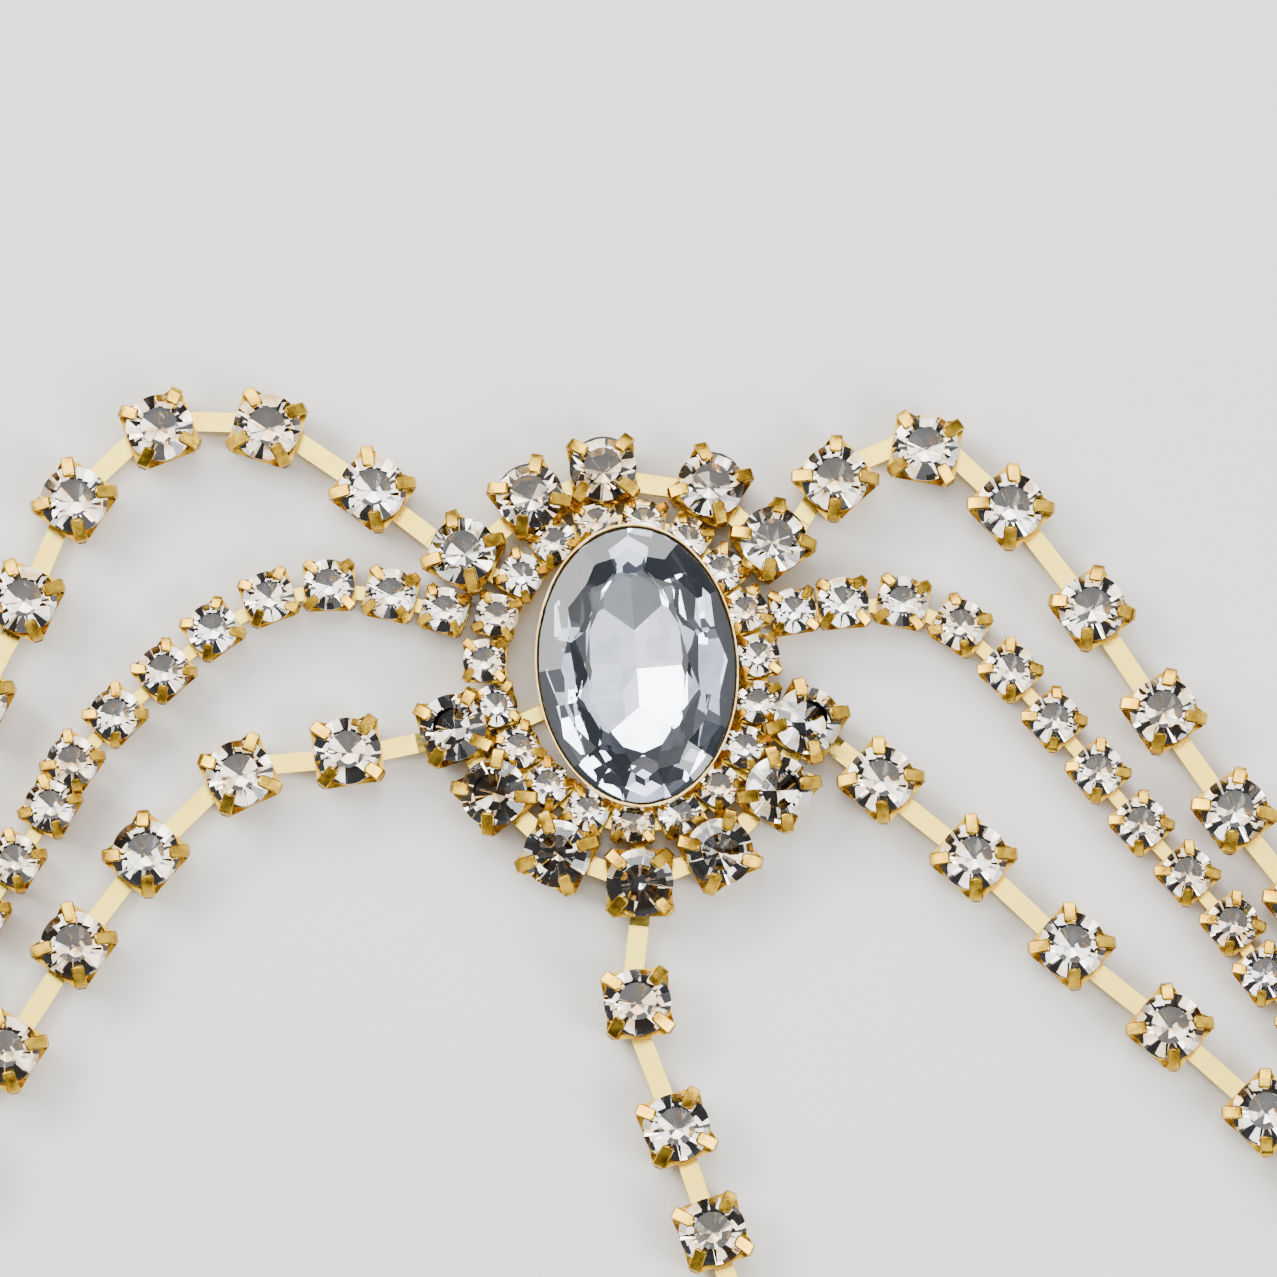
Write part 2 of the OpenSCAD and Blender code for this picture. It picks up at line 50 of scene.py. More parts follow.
skin = nodes["Principled BSDF"]
skin.inputs["Roughness"].default_value = 0.62
place = nodes.new("ShaderNodeTexCoord")
cloud = nodes.new("ShaderNodeTexNoise")
cloud.inputs["Scale"].default_value = 9
tint = nodes.new("ShaderNodeValToRGB")
tint.color_ramp.elements[0].color = (0.80, 0.79, 0.77, 1)
tint.color_ramp.elements[1].color = (0.86, 0.85, 0.83, 1)
links.new(place.outputs["Object"], cloud.inputs["Vector"])
links.new(cloud.outputs["Fac"], tint.inputs["Fac"])
links.new(tint.outputs["Color"], skin.inputs["Base Color"])
board.data.materials.append(board_paint)

room = bpy.data.worlds.new("studio_room")
bpy.context.scene.world = room
room.use_nodes = True
nodes, links = room.node_tree.nodes, room.node_tree.links
place = nodes.new("ShaderNodeTexCoord")
height = nodes.new("ShaderNodeSeparateXYZ")
walls = nodes.new("ShaderNodeValToRGB")
walls.color_ramp.elements[0].position = 0.22
walls.color_ramp.elements[0].color = (0.09, 0.09, 0.10, 1)
walls.color_ramp.elements[1].position = 0.95
walls.color_ramp.elements[1].color = (0.045, 0.047, 0.055, 1)
pale = walls.color_ramp.elements.new(0.45)
pale.color = (0.22, 0.225, 0.24, 1)
links.new(place.outputs["Generated"], height.inputs["Vector"])
links.new(height.outputs["Z"], walls.inputs["Fac"])
links.new(walls.outputs["Color"], nodes["Background"].inputs["Color"])


def soft_lamp(name, at, width, depth, watts, colour):
    """A lamp behind a square diffuser, at a place in metres, turned towards the medallion"""
    lamp = bpy.data.lights.new(name, "AREA")
    lamp.shape = "RECTANGLE"
    lamp.size = width
    lamp.size_y = depth
    lamp.energy = watts
    lamp.color = colour
    holder = bpy.data.objects.new(name, lamp)
    bpy.context.scene.collection.objects.link(holder)
    holder.location = at
    holder.rotation_euler = (-Vector(at)).to_track_quat("-Z", "Y").to_euler()


soft_lamp("lamp_left", (-0.44, 0.27, 0.37), 0.40, 0.30, 4.8, (1.0, 0.985, 0.96))
soft_lamp("card_left", (-0.44, -0.06, 0.41), 0.34, 0.30, 0.6, (1.0, 0.99, 0.97))
soft_lamp("lamp_right", (0.42, -0.30, 0.36), 0.22, 0.36, 4.0, (0.96, 0.98, 1.0))
soft_lamp("card_right", (0.44, 0.10, 0.40), 0.40, 0.56, 1.1, (0.97, 0.98, 1.0))
soft_lamp("lamp_back", (-0.02, 0.52, 0.33), 0.62, 0.18, 3.6, (1.0, 1.0, 1.0))
soft_lamp("lamp_top", (0.0, 0.13, 0.85), 0.34, 0.34, 1.4, (1.0, 0.99, 0.97))
soft_lamp("card_high_left", (-0.36, 0.22, 0.74), 0.20, 0.30, 0.30, (1.0, 0.98, 0.95))
soft_lamp("card_high_right", (0.34, -0.20, 0.76), 0.20, 0.30, 0.30, (0.97, 0.98, 1.0))
soft_lamp("card_high_back", (0.0, 0.28, 0.69), 0.52, 0.17, 1.1, (1.0, 0.98, 0.95))
soft_lamp("card_high_front", (0.0, -0.36, 0.74), 0.34, 0.14, 0.45, (1.0, 0.99, 0.97))
soft_lamp("card_front", (0.05, -0.50, 0.36), 0.60, 0.16, 0.7, (1.0, 0.99, 0.97))
soft_lamp("card_kite", (0.29, -0.39, 0.57), 0.20, 0.20, 0.03, (0.96, 0.98, 1.0))

# The camera stands almost straight above, a little towards the drop strand, as in the photograph,
# where the piece lies turned by four degrees
elevation = math.radians(81)
across, down = 0.9976, -0.0694
distance = 1.0
aim = Vector((0.00107, 0.00279, 0.0))
right = Vector((across, down, 0)).normalized()
back = Vector((down * math.cos(elevation), -across * math.cos(elevation),
               math.sin(elevation))).normalized()
eye = aim + back * distance
lens = bpy.data.cameras.new("photo_camera")
lens.sensor_width = 36
lens.lens = 320.3
lens.clip_start = 0.01
lens.clip_end = 20
camera = bpy.data.objects.new("photo_camera", lens)
bpy.context.scene.collection.objects.link(camera)
turn = Matrix((right, back.cross(right), back)).transposed()
camera.matrix_world = Matrix.Translation(eye) @ turn.to_4x4()
bpy.context.scene.camera = camera


# The round stones: brilliants of clear lead glass with a silver foil fused behind them. A wheel cuts
# every facet as one flat, so each is one straight cut here too, through a blank that is round at the
# girdle. One stone a millimetre across is cut and then set, at each size, in every round cup.
def cut_off(point, normal):
    """Cuts the stone in hand along a flat through a point, and takes away what lies beyond it"""
    bpy.ops.mesh.select_all(action="SELECT")
    bpy.ops.mesh.bisect(plane_co=point, plane_no=normal, use_fill=True, clear_outer=True,
                        threshold=0.00001)


def facet(turn, slope, radius, height):
    """Cuts a facet of the round stone, which passes a point of it and leans by slope from level"""
    a, s = math.radians(turn), math.radians(slope)
    cut_off((radius * math.cos(a), radius * math.sin(a), height),
            (math.cos(a) * math.sin(s), math.sin(a) * math.sin(s), math.cos(s)))


def glass_and_foil(stone, glass, foil):
    """Gives the faces above the girdle clear glass and those at it and below it the foil"""
    stone.data.materials.clear()
    stone.data.materials.append(glass)
    stone.data.materials.append(foil)
    for face in stone.data.polygons:
        face.material_index = 0 if face.normal.z > 0.05 else 1
        face.use_smooth = False


def glass_material(name, tone):
    """Lead glass: clear and glossy, with faint streaks that bend the light a little"""
    made = bpy.data.materials.new(name)
    made.use_nodes = True
    nodes, links = made.node_tree.nodes, made.node_tree.links
    skin = nodes["Principled BSDF"]
    skin.inputs["Base Color"].default_value = (*tone, 1)
    skin.inputs["Roughness"].default_value = 0.0
    skin.inputs["IOR"].default_value = 1.58
    skin.inputs["Transmission Weight"].default_value = 1.0
    place = nodes.new("ShaderNodeTexCoord")
    streak = nodes.new("ShaderNodeTexNoise")
    streak.inputs["Scale"].default_value = 260
    streak.inputs["Detail"].default_value = 1
    lift = nodes.new("ShaderNodeBump")
    lift.inputs["Strength"].default_value = 0.02
    lift.inputs["Distance"].default_value = 0.00001
    links.new(place.outputs["Object"], streak.inputs["Vector"])
    links.new(streak.outputs["Fac"], lift.inputs["Height"])
    links.new(lift.outputs["Normal"], skin.inputs["Normal"])
    return made


def foil_material(name, tone_and_reflection, roughness, painted_glow):
    """Silver foil: a mirror whose tone drifts, with a painted glow of its own that stands in for the light
    that strays in the glass; a warm end of its tone paints reflections of the gold cups
    """
    made = bpy.data.materials.new(name)
    made.use_nodes = True
    nodes, links = made.node_tree.nodes, made.node_tree.links
    skin = nodes["Principled BSDF"]
    skin.inputs["Metallic"].default_value = 1.0
    skin.inputs["Roughness"].default_value = roughness
    # The emission is a painted glow: the foil gives off light of its own, in place of light that strays
    # inside the glass
    skin.inputs["Emission Color"].default_value = (0.85, 0.92, 1.0, 1)
    skin.inputs["Emission Strength"].default_value = painted_glow
    place = nodes.new("ShaderNodeTexCoord")
    drift = nodes.new("ShaderNodeTexNoise")
    drift.inputs["Scale"].default_value = 420
    drift.inputs["Detail"].default_value = 2
    # The tone runs from the first colour to the second; a warm first colour paints reflections of the gold
    # cups into the foil
    tone = nodes.new("ShaderNodeValToRGB")
    tone.color_ramp.elements[0].position = 0.36
    tone.color_ramp.elements[0].color = (*tone_and_reflection[0], 1)
    tone.color_ramp.elements[1].position = 0.52
    tone.color_ramp.elements[1].color = (*tone_and_reflection[1], 1)
    links.new(place.outputs["Object"], drift.inputs["Vector"])
    links.new(drift.outputs["Fac"], tone.inputs["Fac"])
    links.new(tone.outputs["Color"], skin.inputs["Base Color"])
    return made


clear_glass = glass_material("clear_glass", (0.97, 0.98, 1.0))
# The round stones' foil: its warm patches are painted reflections of the gold cups, its pale end is the
# silver's own tone, and it has no painted glow
foil_back = foil_material("foil_back", ((0.74, 0.58, 0.38), (0.96, 0.94, 0.91)), roughness=0.012, painted_glow=0)

bpy.ops.object.select_all(action="DESELECT")
bpy.ops.mesh.primitive_cylinder_add(vertices=48, radius=0.5, depth=1.0)
round_stone = bpy.context.object
round_stone.name = "round_stone_pattern"
bpy.ops.object.mode_set(mode="EDIT")
table_height = 0.175
girdle_half = 0.012
crown_slope, pavilion_slope = 36, 41
facet(0, 0, radius=0, height=table_height)
for k in range(16):
    facet(22.5 * k, crown_slope, radius=0.5, height=girdle_half)
for k in range(8):
    facet(45 * k + 11.25, 180 - pavilion_slope, radius=0.5, height=-girdle_half)
bpy.ops.object.mode_set(mode="OBJECT")
glass_and_foil(round_stone, clear_glass, foil_back)


# Where the round stones sit: each stone of the solid model gives its place, its lean and its turn.
# The strands of the solid model hold loose stones, cups and links, told apart by their heights.
def loose_solids(node):
    """A node of the solid model as one object for each of its loose solids"""
    bpy.ops.object.select_all(action="DESELECT")
    copy = bpy.data.objects.new("working_copy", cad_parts[node].data.copy())
    bpy.context.scene.collection.objects.link(copy)
    bpy.context.view_layer.objects.active = copy
    copy.select_set(True)
    bpy.ops.object.mode_set(mode="EDIT")
    bpy.ops.mesh.select_all(action="SELECT")
    bpy.ops.mesh.remove_doubles(threshold=0.000001)
    bpy.ops.mesh.separate(type="LOOSE")
    bpy.ops.object.mode_set(mode="OBJECT")
    return list(bpy.context.selected_objects)


def corners(part):
    """The corner points of a loose solid, which is then thrown away"""
    points = [v.co.copy() for v in part.data.vertices]
    bpy.data.objects.remove(part)
    return points


def stone_seat(points, towards):
    """Place of a stone: its culet, its axis, and the one of its corners nearest to a direction"""
    culet = min(points, key=lambda p: p.z)
    table_corners = 8
    table = sorted(points, key=lambda p: -p.z)[:table_corners]
    girdle_and_table = [p for p in points if p != culet]
    middle = sum(girdle_and_table, Vector()) / len(girdle_and_table)
    axis = (middle - culet).normalized()
    corner = max((p - middle for p in table), key=lambda v: v.normalized().dot(towards))
    along = (corner - axis * corner.dot(axis)).normalized()
    turn = Matrix((along, axis.cross(along), axis)).transposed().to_4x4()
    return Matrix.Translation(culet) @ turn


# The stones' sizes in millimetres, and the one outer cup that is turned, towards the strand it holds
LARGE, MEDIUM, FIRST, SMALL = 5.9, 4.5, 4.0, 3.8
TURNED_CUP, CUP_TURN = 5, math.radians(-20)
INNER_STRETCH = 1.4
outer_seats = []
inner_seats = []
for k in range(12):
    points = corners(loose_solids("outer_stone_%02d" % (k + 1))[0])
    middle = sum(points, Vector()) / len(points)
    outward = Vector((middle.x, middle.y, 0)).normalized()
    if k == TURNED_CUP:
        outward.rotate(Matrix.Rotation(CUP_TURN, 3, "Z"))
    outer_seats.append(stone_seat(points, outward))
for k in range(19):
    points = corners(loose_solids("inner_stone_%02d" % (k + 1))[0])
    middle = sum(points, Vector()) / len(points)
    outward = Vector((middle.x / INNER_STRETCH, middle.y, 0)).normalized()
    inner_seats.append(stone_seat(points, outward))

# A link's top lies under the first height, and no stone reaches down to the second. Beyond the
# radius around a stone's middle, a cup has only its claws.
LINK_TOP, STONE_LOW, CLAW_RADIUS = 0.002, 0.00095, 0.0033
strand_seats = {}
strand_links = {}
for name in ("strand_upper_left", "strand_lower_left", "strand_upper_right", "strand_lower_right",
             "strand_drop"):
    stones, cups, strand_links[name] = [], [], []
    for part in loose_solids(name):
        low = min(v.co.z for v in part.data.vertices)
        high = max(v.co.z for v in part.data.vertices)
        if high < LINK_TOP:
            strand_links[name].append(part)
        else:
            (stones if low > STONE_LOW else cups).append(corners(part))
    found = []
    for points in stones:
        culet = min(points, key=lambda p: p.z)
        cup = min(cups, key=lambda c: (sum(c, Vector()) / len(c) - culet).to_2d().length)
        wave = sum(complex(p.x - culet.x, p.y - culet.y) ** 4 for p in cup
                   if (p - culet).to_2d().length > CLAW_RADIUS)
        found.append((culet, (math.atan2(wave.imag, wave.real) + math.pi) / 4))
    found.sort(key=lambda s: s[0].to_2d().length)
    strand_seats[name] = []
    for k, (culet, heading) in enumerate(found):
        other = found[k + 1][0] - culet if k + 1 < len(found) else culet - found[k - 1][0]
        want = math.atan2(other.y, other.x)
        heading += round((want - heading) / (math.pi / 2)) * math.pi / 2
        strand_seats[name].append(Matrix.Translation(culet) @ Matrix.Rotation(heading, 4, "Z"))


# The patterns of the stones and cups are made in millimetres and set in place in metres
MILLIMETRES = Matrix.Scale(0.001, 4)


def set_copies(name, pattern, places, vary=None):
    """One piece from a copy of the millimetre pattern at each place, with the place in its mesh"""
    bpy.ops.object.select_all(action="DESELECT")
    copies = []
    for place in places:
        copy = bpy.data.objects.new(name, pattern.data.copy())
        bpy.context.scene.collection.objects.link(copy)
        if vary:
            vary(copy.data)
        copy.data.transform(place @ MILLIMETRES)
        copy.select_set(True)
        copies.append(copy)
    bpy.context.view_layer.objects.active = copies[0]
    if len(copies) > 1:
        bpy.ops.object.join()
    copies[0].name = name
    return copies[0]


# How high the girdle stands over the culet in a stone one millimetre across, in metres
GIRDLE_HEIGHT = 0.00045


def stone_place(seat, size):
    """Puts the girdle of the one-millimetre stone at its height over the seat's culet, at this size"""
    return seat @ Matrix.Translation((0, 0, GIRDLE_HEIGHT * size)) @ Matrix.Scale(size, 4)


def finish(piece, slot, *stands_for):
    """Hides the parts of the solid model that a piece stands for, and makes the piece belong to the one
    body; the finish given as slot is not used
    """
    if stands_for:
        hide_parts(*stands_for)
    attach(piece, "root")


for k, place in enumerate(outer_seats):
    name = "outer_stone_%02d" % (k + 1)
    finish(set_copies(name + "_cut", round_stone, [stone_place(place, LARGE)]), "crystal", name)
for k, place in enumerate(inner_seats):
    name = "inner_stone_%02d" % (k + 1)
    finish(set_copies(name + "_cut", round_stone, [stone_place(place, SMALL)]), "crystal", name)
for name, seats in strand_seats.items():
    stones = set_copies(name + "_stones", round_stone, [stone_place(s, LARGE) for s in seats])
    finish(stones, "crystal", name)


# The cups of the chain: each is stamped from thin brass sheet into an eight-sided tray with four
# claws, plated in yellow gold, and closed over its stone. Its walls are scooped low between the
# claws, and where a link leaves it is slotted. No two cups are pressed shut quite alike.
def gold_material(name, deep, light, roughness, scale):
    """Plated gold: its tone drifts from patch to patch, with fine drawing marks and a few dull spots"""
    made = bpy.data.materials.new(name)
    made.use_nodes = True
    nodes, links = made.node_tree.nodes, made.node_tree.links
    skin = nodes["Principled BSDF"]
    skin.inputs["Metallic"].default_value = 1.0
    place = nodes.new("ShaderNodeTexCoord")
    drift = nodes.new("ShaderNodeTexNoise")
    drift.inputs["Scale"].default_value = scale
    drift.inputs["Detail"].default_value = 4
    tone = nodes.new("ShaderNodeValToRGB")
    tone.color_ramp.elements[0].position = 0.36
    tone.color_ramp.elements[0].color = (*deep, 1)
    tone.color_ramp.elements[1].position = 0.62
    tone.color_ramp.elements[1].color = (*light, 1)
    dull = nodes.new("ShaderNodeMapRange")
    dull.inputs["From Min"].default_value = 0.35
    dull.inputs["From Max"].default_value = 0.75
    dull.inputs["To Min"].default_value = roughness
    dull.inputs["To Max"].default_value = roughness + 0.14
    marks = nodes.new("ShaderNodeTexNoise")
    marks.inputs["Scale"].default_value = 5200
    marks.inputs["Detail"].default_value = 2
    lift = nodes.new("ShaderNodeBump")
    lift.inputs["Strength"].default_value = 0.25
    lift.inputs["Distance"].default_value = 0.00003
    links.new(place.outputs["Object"], drift.inputs["Vector"])
    links.new(place.outputs["Object"], marks.inputs["Vector"])
    links.new(drift.outputs["Fac"], tone.inputs["Fac"])
    links.new(tone.outputs["Color"], skin.inputs["Base Color"])
    links.new(drift.outputs["Fac"], dull.inputs["Value"])
    links.new(dull.outputs["Result"], skin.inputs["Roughness"])
    links.new(marks.outputs["Fac"], lift.inputs["Height"])
    links.new(lift.outputs["Normal"], skin.inputs["Normal"])
    return made


cup_gold = gold_material("cup_gold", (0.39, 0.205, 0.017), (0.74, 0.47, 0.045), roughness=0.20, scale=900)


def new_piece(name, kind, **sizes):
    """Adds a primitive on its own, with its place and size in its mesh, and returns it"""
    scale = sizes.pop("scale", (1, 1, 1))
    bpy.ops.object.select_all(action="DESELECT")
    getattr(bpy.ops.mesh, "primitive_" + kind + "_add")(**sizes)
    bpy.context.object.scale = scale
    bpy.ops.object.transform_apply(location=True, rotation=True, scale=True)
    bpy.context.object.name = name
    return bpy.context.object


def pick(test, kind="FACE"):
    """Selects, in the mesh in hand, only the faces or edges that pass a test of middle and normal"""
    bpy.ops.mesh.select_mode(type=kind)
    bpy.ops.mesh.select_all(action="DESELECT")
    mesh = bmesh.from_edit_mesh(bpy.context.object.data)
    if kind == "FACE":
        for face in mesh.faces:
            face.select_set(test(face.calc_center_median(), face.normal))
    else:
        for edge in mesh.edges:
            one, two = (v.co for v in edge.verts)
            edge.select_set(test((one + two) / 2, (two - one).normalized()))
    bmesh.update_edit_mesh(bpy.context.object.data)


def apply_modifier(piece, kind, **settings):
    """Adds a modifier with these settings and applies it"""
    bpy.ops.object.select_all(action="DESELECT")
    piece.select_set(True)
    bpy.context.view_layer.objects.active = piece
    bpy.ops.object.modifier_add(type=kind)
    added = piece.modifiers[-1]
    for key, value in settings.items():
        setattr(added, key, value)
    bpy.ops.object.modifier_apply(modifier=added.name)


def join_all(name, parts):
    """Joins loose parts to one piece"""
    bpy.ops.object.select_all(action="DESELECT")
    for part in parts:
        part.select_set(True)
    bpy.context.view_layer.objects.active = parts[0]
    if len(parts) > 1:
        bpy.ops.object.join()
    parts[0].name = name
    return parts[0]


def paint(piece, material):
    """Gives a piece one material all over"""
    piece.data.materials.clear()
    piece.data.materials.append(material)


def shade_crisp(piece):
    """Smooth shading that keeps the edges of the metal crisp"""
    bpy.ops.object.select_all(action="DESELECT")
    piece.select_set(True)
    bpy.context.view_layer.objects.active = piece
    bpy.ops.object.shade_smooth_by_angle(angle=math.radians(35))


def stamped_cup(size, metal, room, scooped, slotted, slot_width=2.58):
    """A cup in millimetres with its floor on the ground and the chain's way along X"""
    clearance = 0.02
    half = size / 2 + clearance
    corner = size * 0.59 + metal
    girdle = metal + room + 0.45 * size
    wall_top = girdle - 0.13 * size
    cut = half - (corner * math.sqrt(2) - half)
    near = 0.01
    tray = new_piece("cup_tray", "cube", size=2, location=(0, 0, wall_top / 2),
                     scale=(half, half, wall_top / 2))
    bpy.ops.object.mode_set(mode="EDIT")
    pick(lambda m, n: abs(m.x) > half - near and abs(m.y) > half - near, "EDGE")
    bpy.ops.mesh.bevel(offset=cut, segments=1, affect="EDGES")
    pick(lambda m, n: n.z > 0.9)
    bpy.ops.mesh.inset(thickness=metal, use_even_offset=True)
    bpy.ops.mesh.extrude_region_move(TRANSFORM_OT_translate={"value": (0, 0, metal - wall_top)})
    bpy.ops.object.mode_set(mode="OBJECT")
    for turn in scooped:
        scoop = new_piece("scoop", "cylinder", vertices=20, radius=0.42 * size, depth=size,
                          location=(size / 2, 0, metal + room + 0.57 * size), rotation=(0, math.pi / 2, 0))
        scoop.data.transform(Matrix.Rotation(math.radians(turn), 4, "Z"))
        apply_modifier(tray, "BOOLEAN", operation="DIFFERENCE", object=scoop, solver="EXACT")
        bpy.data.objects.remove(scoop)
    for turn in slotted:
        slot = new_piece("slot", "cube", size=1, location=(half, 0, metal + room / 2),
                         scale=(1, slot_width, room))
        slot.data.transform(Matrix.Rotation(math.radians(turn), 4, "Z"))
        apply_modifier(tray, "BOOLEAN", operation="DIFFERENCE", object=slot, solver="EXACT")
        bpy.data.objects.remove(slot)
    apply_modifier(tray, "BEVEL", width=0.05, segments=1, limit_method="ANGLE",
                   angle_limit=math.radians(60))
    parts = [tray]
    out = corner - metal / 2
    tip = 0.345 * size
    claw_width = 0.19 * size
    claw_foot = 0.2
    upright = girdle - 0.01 * size
    path = [(out, upright), (out - 0.02 * size, girdle + 0.045 * size),
            (out - 0.07 * size, girdle + 0.075 * size), (tip + 0.04 * size, girdle + 0.145 * size),
            (tip, girdle + 0.16 * size)]
    for k in range(4):
        claw = new_piece("cup_claw", "plane", size=1, location=(out, 0, (upright + claw_foot) / 2),
                         rotation=(0, math.pi / 2, 0), scale=(upright - claw_foot, claw_width, 1))
        bpy.ops.object.mode_set(mode="EDIT")
        pick(lambda m, n: m.z > upright - near, "EDGE")
        for (x, z), (was_x, was_z) in zip(path[1:], path[:-1]):
            bpy.ops.mesh.extrude_region_move(TRANSFORM_OT_translate={"value": (x - was_x, 0, z - was_z)})
            if x == tip:
                bpy.ops.transform.resize(value=(1, 0.8, 1), center_override=(x, 0, z))
        bpy.ops.object.mode_set(mode="OBJECT")
        apply_modifier(claw, "SOLIDIFY", thickness=metal * 1.05, offset=0, use_even_offset=True)
        apply_modifier(claw, "BEVEL", width=0.018 * size, segments=1, limit_method="ANGLE",
                       angle_limit=math.radians(50))
        claw.data.transform(Matrix.Rotation(math.radians(45 + 90 * k), 4, "Z"))
        parts.append(claw)
    cup = join_all("cup_pattern", parts)
    floor_share = 0.84
    for v in cup.data.vertices:
        draw_in = floor_share + (1 - floor_share) * min(v.co.z / wall_top, 1)
        v.co.x *= draw_in
        v.co.y *= draw_in
    paint(cup, cup_gold)
    return cup


pressing = random.Random(7)


def press_claws(mesh):
    """Presses each of the four claws a little differently, as the closing tool does"""
    chain_cup_half = 3.1
    size = max(v.co.x for v in mesh.vertices) / chain_cup_half
    tip_at, claw_side, claw_low = 1.2 * size, 0.9 * size, 3.8 * size
    root_at, claw_length = 3.7 * size, 1.7 * size
    for k in range(4):
        around = math.radians(45 + 90 * k)
        out = Vector((math.cos(around), math.sin(around), 0))
        side = Vector((-out.y, out.x, 0))
        reach = pressing.uniform(-0.22, 0.22) * size
        swing = pressing.uniform(-0.20, 0.20) * size
        for v in mesh.vertices:
            along = v.co.dot(out)
            if along > tip_at and abs(v.co.dot(side)) < claw_side and v.co.z > claw_low:
                share = (root_at - along) / claw_length
                v.co += out * reach * share + side * swing * share


def under_stones(seats, metal, room):
    """Where the cups' floors go, for stones whose culets stand over the floor by this metal and room"""
    return [seat @ Matrix.Translation((0, 0, -0.001 * (metal + room))) for seat in seats]


LARGE_METAL, LARGE_ROOM = 0.4, 0.64
chain_cup = stamped_cup(LARGE, LARGE_METAL, LARGE_ROOM, (90, 270), (0, 180))
for name, seats in strand_seats.items():
    cups = set_copies(name + "_cups", chain_cup, under_stones(seats, LARGE_METAL, LARGE_ROOM), press_claws)
    shade_crisp(cups)
    finish(cups, "gold", name)
bpy.data.objects.remove(chain_cup)


# The links of the chain: short flat bars of plated brass with a round head at each end, which is
# caught inside the cup when its floor is folded shut. They are paler and plainer than the cups.
link_gold = gold_material("link_gold", (0.96, 0.67, 0.10), (1.00, 0.80, 0.16), roughness=0.13, scale=700)
for name, bars in strand_links.items():
    links_piece = join_all(name + "_links", bars)
    bpy.ops.object.mode_set(mode="EDIT")
    bpy.ops.mesh.select_all(action="SELECT")
    bpy.ops.mesh.dissolve_limited(angle_limit=math.radians(1))
    bpy.ops.object.mode_set(mode="OBJECT")
    apply_modifier(links_piece, "BEVEL", width=0.00005, segments=1, limit_method="ANGLE",
                   angle_limit=math.radians(60))
    paint(links_piece, link_gold)
    shade_crisp(links_piece)
    finish(links_piece, "gold", name)


# The medallion's metal: the two rings of cups, soldered to a ring and to bars of flat wire across the
# back. Between the outer cups are short flat bars, the links of the chain that these cups come from.
cups_with_strand = (0, 4, 5, 8, 11)
for k, place in enumerate(outer_seats):
    scooped, slotted = ((90, 180, 270), (0,)) if k in cups_with_strand else ((0, 90, 180, 270), ())
    pattern = stamped_cup(LARGE, LARGE_METAL, LARGE_ROOM, scooped, slotted)
    cup = set_copies("outer_cup_%02d" % (k + 1), pattern, under_stones([place], LARGE_METAL, LARGE_ROOM),
                     press_claws)
    bpy.data.objects.remove(pattern)
    shade_crisp(cup)
    finish(cup, "gold", "medallion_frame")
SMALL_METAL, SMALL_ROOM = 0.3, 0.12
small_cup = stamped_cup(SMALL, SMALL_METAL, SMALL_ROOM, (0, 180), ())
cups = set_copies("inner_cups", small_cup, under_stones(inner_seats, SMALL_METAL, SMALL_ROOM), press_claws)
bpy.data.objects.remove(small_cup)
shade_crisp(cups)
finish(cups, "gold", "medallion_frame")

ring_half_x, ring_half_y, ring_shift = 11.4, 13.5, -0.4
ring_turn = math.radians(6)
ring_height = 1.15
bar_width = 1.4
back_ring = new_piece("back_ring", "cylinder", vertices=96, radius=1, depth=ring_height,
                      location=(0, 0, ring_height / 2))
bpy.ops.object.mode_set(mode="EDIT")
pick(lambda m, n: abs(n.z) > 0.9)
bpy.ops.mesh.inset(thickness=0.1, use_even_offset=True)
bpy.ops.mesh.bridge_edge_loops()
bpy.ops.object.mode_set(mode="OBJECT")
outer_edge = 0.95
for v in back_ring.data.vertices:
    far = v.co.to_2d().length
    grow = bar_width / 2 if far > outer_edge else -bar_width / 2
    v.co.x = v.co.x / far * (ring_half_x + grow)
    v.co.y = v.co.y / far * (ring_half_y + grow) + ring_shift
back_ring.data.transform(Matrix.Rotation(ring_turn, 4, "Z"))
bars = [back_ring]
for k in range(5):
    heading = math.radians(200 + 60 * k)
    bar = new_piece("back_bar", "cube", size=1, location=(8, 0, 0.28), scale=(9.4, bar_width, 0.44))
    bar.data.transform(Matrix.Translation((0, ring_shift, 0)) @ Matrix.Rotation(heading, 4, "Z"))
    bars.append(bar)
# A short bar runs out from the ring under each outer cup
ring_stretch = 1.13
for place in outer_seats:
    middle = (place.translation * 1000).to_2d()
    heading = math.atan2(middle.y / ring_stretch, middle.x)
    bar = new_piece("back_bar", "cube", size=1, location=(-2.2, 0, 0.48), scale=(3.6, bar_width, 0.84))
    bar.data.transform(Matrix.Translation((middle.x, middle.y, 0)) @ Matrix.Rotation(heading, 4, "Z"))
    bars.append(bar)


def bar_between(name, one, two, short, width, low, thick):
    """A flat bar in millimetres from one point towards another, shorter than their distance"""
    long = math.hypot(two[0] - one[0], two[1] - one[1]) - short
    bar = new_piece(name, "cube", size=1, location=(0, 0, low + thick / 2), scale=(long, width, thick))
    bar.data.transform(Matrix.Translation(((one[0] + two[0]) / 2, (one[1] + two[1]) / 2, 0))
                       @ Matrix.Rotation(math.atan2(two[1] - one[1], two[0] - one[0]), 4, "Z"))
    return bar


# No bar joins the last cup to the first, or the fifth to the sixth: the middle strands leave there
cup_before_right_gap = 4
for k in range(11):
    if k != cup_before_right_gap:
        one, two = outer_seats[k].translation * 1000, outer_seats[k + 1].translation * 1000
        bars.append(bar_between("ring_link", one, two, short=5.4, width=1.8, low=1.04, thick=0.4))
ring_metal = join_all("medallion_bars", bars)
apply_modifier(ring_metal, "BEVEL", width=0.06, segments=1, limit_method="ANGLE",
               angle_limit=math.radians(60))
paint(ring_metal, link_gold)
ring_metal.data.transform(MILLIMETRES)
shade_crisp(ring_metal)
finish(ring_metal, "gold", "medallion_frame")


